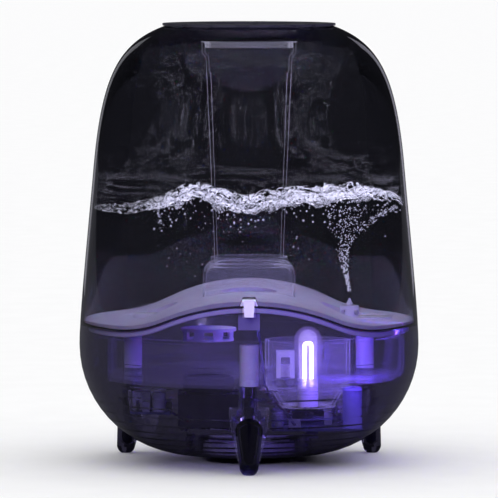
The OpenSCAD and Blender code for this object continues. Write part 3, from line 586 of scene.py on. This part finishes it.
def rounded_section(inside, outside, low, high, corner, steps=5):
    """A rectangle of radius and height with rounded corners, as one closed loop."""
    a = np.linspace(0, np.pi / 2, steps)
    loop = []
    for (r, z), start in (((outside - corner, high - corner), 0), ((inside + corner, high - corner), 1),
                          ((inside + corner, low + corner), 2), ((outside - corner, low + corner), 3)):
        turn_by = start * np.pi / 2
        loop.append(np.stack([r + corner * np.cos(a + turn_by), z + corner * np.sin(a + turn_by)], -1))
    return np.concatenate(loop)


def on_the_wave(section, sides):
    """A section of radius and height carried round the axis, each point lifted by the wave."""
    around = np.linspace(0, 2 * np.pi, sides, endpoint=False)
    x = section[:, :1] * np.cos(around)
    y = section[:, :1] * np.sin(around)
    return np.stack([x, y, section[:, 1:] + wave(x)], -1)


band_section = rounded_section(BAND_IN, BAND_OUT, BAND_LOW, BAND_TOP, BAND_CORNER)
band = grid_piece("rim_band", on_the_wave(band_section, AROUND), "base", "pale_plastic", True, True,
                  stands_for=("base_rim",))
band.data.materials.append(finish["pale_plastic"])
skirt_a = np.linspace(0, 2 * np.pi, AROUND, endpoint=False)
skirt_r = np.array([SKIRT_OUT, SKIRT_OUT, SKIRT_IN, SKIRT_IN])[:, None]
skirt_x, skirt_y = skirt_r * np.cos(skirt_a), skirt_r * np.sin(skirt_a)
skirt_top = BAND_LOW + 0.6 * MM + wave(skirt_x)
skirt_z = np.where(np.array([0, 1, 1, 0])[:, None] == 1, skirt_top, TRAY_TOP)
skirt = grid_piece("rim_skirt", np.stack([skirt_x, skirt_y, skirt_z], -1), "base",
                   "tray_plastic", True, True)
skirt.data.materials.append(finish["tray_film"])

# %% [markdown]
# The water stands a little over half way up. The stirred surface runs smooth from the left
# wall, climbs to a crest, dips beside the mist tube and breaks into froth on the right,
# where air from the valve rises. It is a thin closed skin round the mist tube, because a
# full body of water inside glass inside glass would only darken the picture.

# %% The shape of the surface
TANK_INSIDE = 103.0 * MM
TUBE_OUTSIDE = 25.1 * MM
line_x = np.array([-106, -92, -80, -60, -48, -36, -24, -6, 8, 20, 46, 64, 81, 95, 106]) * MM
line_z = np.array([170, 169, 168.5, 172, 177, 181, 178, 171, 173, 176, 179, 180, 181, 177, 172]) * MM
fine_x = np.linspace(line_x[0], line_x[-1], 425)
soften = np.hanning(33) / np.hanning(33).sum()
fine_z = np.convolve(np.pad(np.interp(fine_x, line_x, line_z), 16, "edge"), soften, "valid")
chance = np.random.default_rng(11)
ripple_length = chance.uniform(9, 34, 26) * MM
ripple_turn = chance.uniform(0, np.pi, 26)
ripple_start = chance.uniform(0, 2 * np.pi, 26)


def stirred(x):
    """How lively the water is: 0 at the left wall, rising to 1 from the first crest on."""
    return np.clip((x + 0.075) / 0.04, 0, 1)


def water_height(x, y):
    """The smooth line from left to right, plus 26 sine ripples whose height is a share of
    their length, times how stirred the water is there."""
    along = x[..., None] * np.cos(ripple_turn) + y[..., None] * np.sin(ripple_turn)
    waves = np.sin(2 * np.pi * along / ripple_length + ripple_start) * ripple_length * 0.016
    return np.interp(x, fine_x, fine_z) + waves.sum(-1) * (0.08 + 0.92 * stirred(x))


# %% [markdown]
# The valve in the tank's foot is shut by a wire spring. Its wire is one round tube carried
# along a helix with closed end turns.

# %% The valve spring
coil_low, coil_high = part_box("valve_spring")
WIRE = 0.33 * MM
COIL_R = (coil_high.x - coil_low.x) / 2 - WIRE
along = np.linspace(0, 1, 261)
rise = np.interp(along, [0, 0.15, 0.85, 1], [0, 0.16, 0.84, 1])
coil_turn = 2 * np.pi * 5.0 * along
coil_mid = np.stack([
    (coil_low.x + coil_high.x) / 2 + COIL_R * np.cos(coil_turn),
    (coil_low.y + coil_high.y) / 2 + COIL_R * np.sin(coil_turn),
    coil_low.z + WIRE + (coil_high.z - coil_low.z - 2 * WIRE) * rise,
], -1)
wire_a = np.linspace(0, 2 * np.pi, 8, endpoint=False)
outward = np.stack([np.cos(coil_turn), np.sin(coil_turn), 0 * coil_turn], -1)[:, None]
upward = np.array([0, 0, 1])
wire = (coil_mid[:, None] + WIRE * np.cos(wire_a)[:, None] * outward
        + WIRE * np.sin(wire_a)[:, None] * upward)
spring = grid_piece("spring_wire", wire, "tank", "steel_screw", False, True, capped=True,
                    stands_for=("valve_spring",))
spring.data.materials.append(finish["steel_screw"])
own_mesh(spring)

# %% [markdown]
# Froth, and the glints on the stirred water, show as fine white curls with a painted glow. They
# are lines where a twisted noise crosses its middle value, and the film between them is almost
# clear. Bubbles are small closed balls, clear in the middle and more opaque at the rim, and a
# painted glow makes that rim bright.


# %% Water finishes
def froth(name, scale, width, film, twist, painted_glow_strength, stretch=1.0):
    """White curls on a thin film, bright with a painted glow: opaque where a twisted noise is
    within a width of its middle, and a film elsewhere. A stretch under 1 draws the curls out
    along Y."""
    made, tree, shader, _, place = blank(name)
    drawn = tree.nodes.new("ShaderNodeMapping")
    drawn.inputs["Scale"].default_value = (1, stretch, 1)
    tree.links.new(place, drawn.inputs["Vector"])
    curl = noise_node(tree, drawn.outputs["Vector"], scale, 3)
    curl.inputs["Distortion"].default_value = twist
    away = tree.nodes.new("ShaderNodeMath")
    away.operation = "SUBTRACT"
    away.inputs[1].default_value = 0.5
    tree.links.new(curl.outputs["Fac"], away.inputs[0])
    size = tree.nodes.new("ShaderNodeMath")
    size.operation = "ABSOLUTE"
    tree.links.new(away.outputs[0], size.inputs[0])
    mask = range_node(tree, size.outputs[0], 0.0, width, 1, film)
    tree.links.new(mask, shader.inputs["Alpha"])
    tree.links.new(mix_node(tree, mask, (0.5, 0.52, 0.66), (0.97, 0.97, 1.0)),
                   shader.inputs["Base Color"])
    shader.inputs["Roughness"].default_value = 0.12
    shader.inputs["Emission Color"].default_value = (0.9, 0.9, 1.0, 1)
    shader.inputs["Emission Strength"].default_value = painted_glow_strength
    return made


# On the water skin the curls stand for foam and glints on the crests, in the rolls for froth; the
# emission on both is painted light.
surface_finish = froth("water_skin", 75, 0.02, 0.0, 1.8, 2.4, 0.35)
foam_finish = froth("froth", 330, 0.022, 0.0, 2.4, 2.6)
bubble_finish, bubble_tree, bubble_shader, _, bubble_place = blank("bubbles")
painted_glow_rim = bubble_tree.nodes.new("ShaderNodeLayerWeight")
painted_glow_rim.inputs["Blend"].default_value = 0.35
bubble_tree.links.new(range_node(bubble_tree, painted_glow_rim.outputs["Facing"], 0.0, 0.9, 0.25, 1.0),
                      bubble_shader.inputs["Alpha"])
speck = noise_node(bubble_tree, bubble_place, 700, 2)
bubble_tree.links.new(mix_node(bubble_tree, speck.outputs["Fac"], (0.75, 0.77, 0.9), (1, 1, 1)),
                      bubble_shader.inputs["Base Color"])
bubble_shader.inputs["Roughness"].default_value = 0.08
# The bubbles' brightness is painted light: an emission that shows most at their more opaque rims.
bubble_shader.inputs["Emission Color"].default_value = (0.9, 0.9, 1.0, 1)
bubble_shader.inputs["Emission Strength"].default_value = 1.3

# %% [markdown]
# The skin is two faces half a millimetre apart, from the mist tube out to the tank's wall,
# joined at both edges.

# %% The skin of the water
ring_r = np.concatenate([np.linspace(TUBE_OUTSIDE, TANK_INSIDE, 70),
                         np.linspace(TANK_INSIDE, TUBE_OUTSIDE, 70)])
ring_a = np.linspace(0, 2 * np.pi, 300, endpoint=False)
skin_x = ring_r[:, None] * np.cos(ring_a)
skin_y = ring_r[:, None] * np.sin(ring_a)
skin_z = water_height(skin_x, skin_y)
skin_z[70:] -= 0.5 * MM
water = grid_piece("water_surface", np.stack([skin_x, skin_y, skin_z], -1), "tank",
                   "lamp_glass", True, True)
water.data.materials.append(surface_finish)

# %% [markdown]
# Air whipped in under a crest hangs there as a roll of froth. Each roll is a flattened tube
# carried along the crest, and it swells and shrinks on the way.


# %% Rolls of froth under the crests
def froth_roll(name, start, stop, depth, seed):
    """A flat roll carried along x: its middle follows the water just under the surface, and
    its half height swells and shrinks with seeded waves between 0.6 and about 4 mm."""
    luck = np.random.default_rng(seed)
    x = np.linspace(start, stop, 360) * MM
    phase = luck.uniform(0, 6.28, 5)
    length = luck.uniform(7, 45, 5) * MM
    swell = np.sin(2 * np.pi * x[:, None] / length + phase).mean(1)
    ends = np.clip(np.minimum(x - x[0], x[-1] - x) / (12 * MM), 0.05, 1)
    half = (2.3 + 2.6 * swell).clip(0.5) * ends * MM
    y = depth * MM + 5 * MM * np.sin(2 * np.pi * x / (61 * MM) + phase[0])
    middle = water_height(x, y) - half * 0.9
    a = np.linspace(0, 2 * np.pi, 12, endpoint=False)
    across = np.stack([
        np.broadcast_to(x[:, None], (len(x), 12)),
        y[:, None] + 0.8 * MM * np.cos(a) + 0.9 * half[:, None] * np.sin(2 * a + phase[1]),
        middle[:, None] + half[:, None] * np.sin(a),
    ], -1)
    roll = grid_piece(name, across, "tank", "lamp_glass", False, True, capped=True)
    roll.data.materials.append(foam_finish)
    return roll


froth_roll("froth_front_left", -66, 2, -52, 3)
froth_roll("froth_front_right", -8, 82, -58, 4)
froth_roll("froth_middle_right", 30, 98, -16, 5)
froth_roll("froth_rear", -40, 92, 34, 6)

# %% [markdown]
# The bubbles are one small ball copied to many places at once: a cloud that thins out downwards under
# the surface, a few strays, a whirl that widens from the valve to the surface, and an arm
# of the whirl that swings out to the right wall.

# %% Bubbles
ball = bmesh.new()
bmesh.ops.create_icosphere(ball, subdivisions=1, radius=1.0)
ball_points = np.array([v.co for v in ball.verts])
ball_faces = np.array([[v.index for v in f.verts] for f in ball.faces])
ball.free()
luck = np.random.default_rng(21)


def in_water(count, low_x, high_x, mean_depth):
    """Random places under the surface: x even between two limits, y even across the tank,
    and the depth falling away exponentially. Places in the tube or wall are left out."""
    x = luck.uniform(low_x, high_x, count) * MM
    y = luck.uniform(-75, 75, count) * MM
    z = water_height(x, y) - luck.exponential(mean_depth, count) * MM - 0.8 * MM
    r = np.hypot(x, y)
    keep = (r > 27 * MM) & (r < 100 * MM) & (z > 0.12)
    return np.stack([x, y, z], -1)[keep]


cloud = in_water(520, -62, 100, 5)
strays = in_water(110, -55, 98, 22)
climb = luck.uniform(0, 1, 430)
spread = (1.2 + 15 * climb ** 1.9) * MM * luck.uniform(0.1, 1, 430) ** 0.6
turn = luck.uniform(0, 2 * np.pi, 430)
valve_low, valve_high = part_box("valve_plunger")
valve_x = (valve_low.x + valve_high.x) / 2
whirl = np.stack([
    valve_x - 4 * MM * np.sin(climb * 3.0) + spread * np.cos(turn),
    spread * np.sin(turn),
    valve_high.z + 4.5 * MM + climb * 57 * MM,
], -1)
swing = luck.uniform(0, 1, 110)
arm = np.stack([
    (71 + 27 * swing) * MM + luck.normal(0, 1.3, 110) * MM,
    -12 * MM + luck.normal(0, 5, 110) * MM,
    (150 + 20 * swing ** 0.6) * MM + luck.normal(0, 1.3, 110) * MM,
], -1)
places = np.concatenate([cloud, strays, whirl, arm])
sizes = np.concatenate([
    luck.uniform(0.2, 0.8, len(cloud)), luck.uniform(0.2, 0.55, len(strays)),
    luck.uniform(0.2, 0.5, len(whirl)), luck.uniform(0.2, 0.55, len(arm)),
]) * MM
bubble_points, bubble_faces = many(ball_points, ball_faces, places, sizes)
bubbles = add_piece("bubbles", bubble_points, bubble_faces, "tank", "lamp_glass", weld=False)
bubbles.data.materials.append(bubble_finish)
print("bubbles", len(places))

# %% [markdown]
# The lamp's two bars fill their bulb with a bright haze. It is a small closed capsule of
# glowing film inside the glass, so the lamp has a body of light and not only two lines. A
# second, fainter one stands for the mist that the lamp lights up around its glass.

# %% The lamp's haze
bulb_low, bulb_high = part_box("lamp_glass")
bulb_at = (bulb_low + bulb_high) / 2
core_r = 4.4 * MM
core_a = np.linspace(-np.pi / 2, np.pi / 2, 16)
core_low = bulb_low.z + 6 * MM
core_top = bulb_high.z - 7 * MM
core_profile = np.stack([
    core_r * np.cos(core_a),
    np.where(core_a < 0, core_low, core_top) + core_r * np.sin(core_a),
], -1)
haze = grid_piece("lamp_haze", turned(core_profile, 40, (bulb_at.x, bulb_at.y)), "base",
                  "lamp_glow", False, True)
haze_finish, haze_tree, haze_shader, _, haze_place = blank("lamp_haze")
flicker = noise_node(haze_tree, haze_place, 160, 2)
haze_tree.links.new(mix_node(haze_tree, flicker.outputs["Fac"], (0.6, 0.5, 1.0), (0.8, 0.75, 1.0)),
                    haze_shader.inputs["Emission Color"])
haze_shader.inputs["Base Color"].default_value = (0, 0, 0, 1)
haze_shader.inputs["Emission Strength"].default_value = 1.6
haze_shader.inputs["Alpha"].default_value = 0.3
haze.data.materials.append(haze_finish)
haze.visible_shadow = False

halo_r = 9.6 * MM
halo_profile = np.stack([
    halo_r * np.cos(core_a),
    np.where(core_a < 0, core_low + 5 * MM, core_top) + halo_r * np.sin(core_a),
], -1)
halo = grid_piece("lamp_halo", turned(halo_profile, 48, (bulb_at.x, bulb_at.y)), "base",
                  "lamp_glow", False, True)
halo_finish, halo_tree, halo_shader, _, halo_place = blank("lamp_halo")
facing = halo_tree.nodes.new("ShaderNodeLayerWeight")
facing.inputs["Blend"].default_value = 0.5
halo_tree.links.new(range_node(halo_tree, facing.outputs["Facing"], 0.0, 0.95, 0.32, 0.0),
                    halo_shader.inputs["Alpha"])
drift = noise_node(halo_tree, halo_place, 90, 3)
halo_tree.links.new(mix_node(halo_tree, drift.outputs["Fac"], (0.36, 0.22, 1.0), (0.55, 0.42, 1.0)),
                    halo_shader.inputs["Emission Color"])
halo_shader.inputs["Base Color"].default_value = (0, 0, 0, 1)
halo_shader.inputs["Specular IOR Level"].default_value = 0
halo_shader.inputs["Emission Strength"].default_value = 1.6
halo.data.materials.append(halo_finish)
halo.visible_shadow = False

# %% [markdown]
# The studio: a pale floor that runs out of sight, a white wall of light for the lens, and
# dark surroundings for everything seen through or mirrored in the shells, which is what
# makes smoked glass look black on white paper. This is a studio trick: only rays straight
# from the camera see the white.

# %% World and floor
world = bpy.data.worlds.new("studio")
scene.world = world
world.use_nodes = True
sky = world.node_tree
sky.nodes.clear()
sky_out = sky.nodes.new("ShaderNodeOutputWorld")
paper_white = sky.nodes.new("ShaderNodeBackground")
paper_white.inputs["Color"].default_value = (1, 1, 1, 1)
dark_room = sky.nodes.new("ShaderNodeBackground")
dark_room.inputs["Color"].default_value = (0.012, 0.012, 0.015, 1)
sky_mix = sky.nodes.new("ShaderNodeMixShader")
sky_path = sky.nodes.new("ShaderNodeLightPath")
sky.links.new(sky_path.outputs["Is Camera Ray"], sky_mix.inputs[0])
sky.links.new(dark_room.outputs[0], sky_mix.inputs[1])
sky.links.new(paper_white.outputs[0], sky_mix.inputs[2])
sky.links.new(sky_mix.outputs[0], sky_out.inputs["Surface"])


def card(name, corners, material):
    """A flat four-cornered sheet of the studio, which is no part of the object."""
    mesh = bpy.data.meshes.new(name)
    mesh.from_pydata(corners, [], [(0, 1, 2, 3)])
    sheet = bpy.data.objects.new(name, mesh)
    scene.collection.objects.link(sheet)
    mesh.materials.append(material)
    return sheet


paper, paper_tree, paper_shader, _, paper_place = blank("paper_floor")
fibre = noise_node(paper_tree, paper_place, 30, 3)
paper_path = paper_tree.nodes.new("ShaderNodeLightPath")
pale = mix_node(paper_tree, range_node(paper_tree, fibre.outputs["Fac"], 0.3, 0.7, 0, 1),
                (0.93, 0.93, 0.935), (0.95, 0.95, 0.955))
# Every ray but the camera's sees the floor painted dark, glossy rays a little less dark: painted shade
# in what the shells mirror and show through.
mirrored = mix_node(paper_tree, paper_path.outputs["Is Glossy Ray"], (0.03, 0.03, 0.035),
                    (0.07, 0.07, 0.08))
paper_tree.links.new(mix_node(paper_tree, paper_path.outputs["Is Camera Ray"], mirrored, pale),
                     paper_shader.inputs["Base Color"])
paper_shader.inputs["Roughness"].default_value = 0.9
paper_shader.inputs["Specular IOR Level"].default_value = 0.0
FLOOR_REACH = 30.0
card("floor", [(-FLOOR_REACH, -FLOOR_REACH, 0), (FLOOR_REACH, -FLOOR_REACH, 0),
               (FLOOR_REACH, FLOOR_REACH, 0), (-FLOOR_REACH, FLOOR_REACH, 0)], paper)

# A faint glowing sheet behind the tank, black but for its emission, seen only through the clear walls:
# it lights the tank's middle and is no part of the object.
back_glow_sheet, _, back_glow_shader, _, _ = blank("back_glow_sheet")
back_glow_shader.inputs["Base Color"].default_value = (0, 0, 0, 1)
back_glow_shader.inputs["Specular IOR Level"].default_value = 0.0
back_glow_shader.inputs["Emission Color"].default_value = (0.9, 0.9, 1.0, 1)
back_glow_shader.inputs["Emission Strength"].default_value = 0.1
back_card = card("back_card", [(-0.11, 0.6, 0.02), (0.11, 0.6, 0.02), (0.11, 0.6, 0.3),
                               (-0.11, 0.6, 0.3)], back_glow_sheet)
back_card.visible_camera = False
back_card.visible_glossy = False
back_card.visible_diffuse = False
back_card.visible_shadow = False
print("floor reaches", FLOOR_REACH, "m")

# %% [markdown]
# One wide soft sky lights the floor and the object. Narrow boxes behind draw a pale line
# down each side of the tank, fills show the plate and the tube, and the lamp lights the
# tray from within. All but the sky leave the floor out, so the paper stays even.


# %% Lights
def soft_box(name, place, aim, size, watts, colour=(1, 1, 1), mirrored=True):
    """A rectangular light at a place, turned to face a point. Unless mirrored, it lights
    the object without showing in its gloss."""
    data = bpy.data.lights.new(name, "AREA")
    data.shape = "RECTANGLE"
    data.size, data.size_y = size
    data.energy = watts
    data.color = colour
    lamp = bpy.data.objects.new(name, data)
    scene.collection.objects.link(lamp)
    lamp.location = place
    lamp.rotation_euler = (Vector(aim) - Vector(place)).to_track_quat("-Z", "Y").to_euler()
    lamp.visible_camera = False
    lamp.visible_transmission = False
    lamp.visible_glossy = mirrored
    return lamp


off_floor = bpy.data.collections.new("not_the_floor")
off_floor.objects.link(bpy.data.objects["floor"])
off_floor.collection_objects[0].light_linking.link_state = "EXCLUDE"

sun = bpy.data.lights.new("soft_sky", "SUN")
sun.energy = 3.2
sun.angle = math.radians(100)
sky_light = bpy.data.objects.new("soft_sky", sun)
scene.collection.objects.link(sky_light)
sky_light.visible_glossy = False
sky_light.visible_transmission = False
sky_light.visible_camera = False
soft_box("left_edge", (-0.8, 2.2, 0.3), (0, 0, 0.15), (0.35, 1.6), 0.6, (0.9, 0.9, 1.0))
soft_box("right_edge", (0.8, 2.2, 0.3), (0, 0, 0.15), (0.35, 1.6), 0.8, (0.85, 0.82, 1.0))
soft_box("tank_fill", (0.02, -0.01, 0.258), (0.02, 0, 0), (0.13, 0.13), 0.4, (0.85, 0.83, 1.0), False)
soft_box("front_fill", (-0.5, -2.0, 0.9), (0, 0, 0.12), (1.2, 1.2), 27, (0.88, 0.85, 1.0), False)
soft_box("violet_side", (0.55, -1.1, 0.25), (0.07, 0, 0.09), (0.3, 0.3), 7, (0.32, 0.18, 1.0), False)
soft_box("right_bounce", (0.075, -0.05, 0.08), (0.075, 0.03, 0.06), (0.05, 0.04), 0.12,
         (0.26, 0.14, 1.0), False)
lamp_low, lamp_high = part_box("lamp_tube")
glow = bpy.data.lights.new("lamp_light", "POINT")
glow.energy = 0.11
glow.color = (0.20, 0.08, 1.0)
glow.shadow_soft_size = 0.004
glow_lamp = bpy.data.objects.new("lamp_light", glow)
scene.collection.objects.link(glow_lamp)
glow_lamp.location = (lamp_low + lamp_high) / 2
glow_lamp.visible_camera = False
glow_lamp.visible_glossy = False
glow_lamp.visible_transmission = False
frame["nodes"]["lamp_tube"].visible_shadow = False
for lamp in bpy.data.objects:
    if lamp.type == "LIGHT" and lamp is not sky_light:
        lamp.light_linking.receiver_collection = off_floor
for name in ("lamp_tube", "lamp_haze", "lamp_halo"):
    bpy.data.objects[name].light_linking.receiver_collection = off_floor
print("lamp light at", tuple(glow_lamp.location))
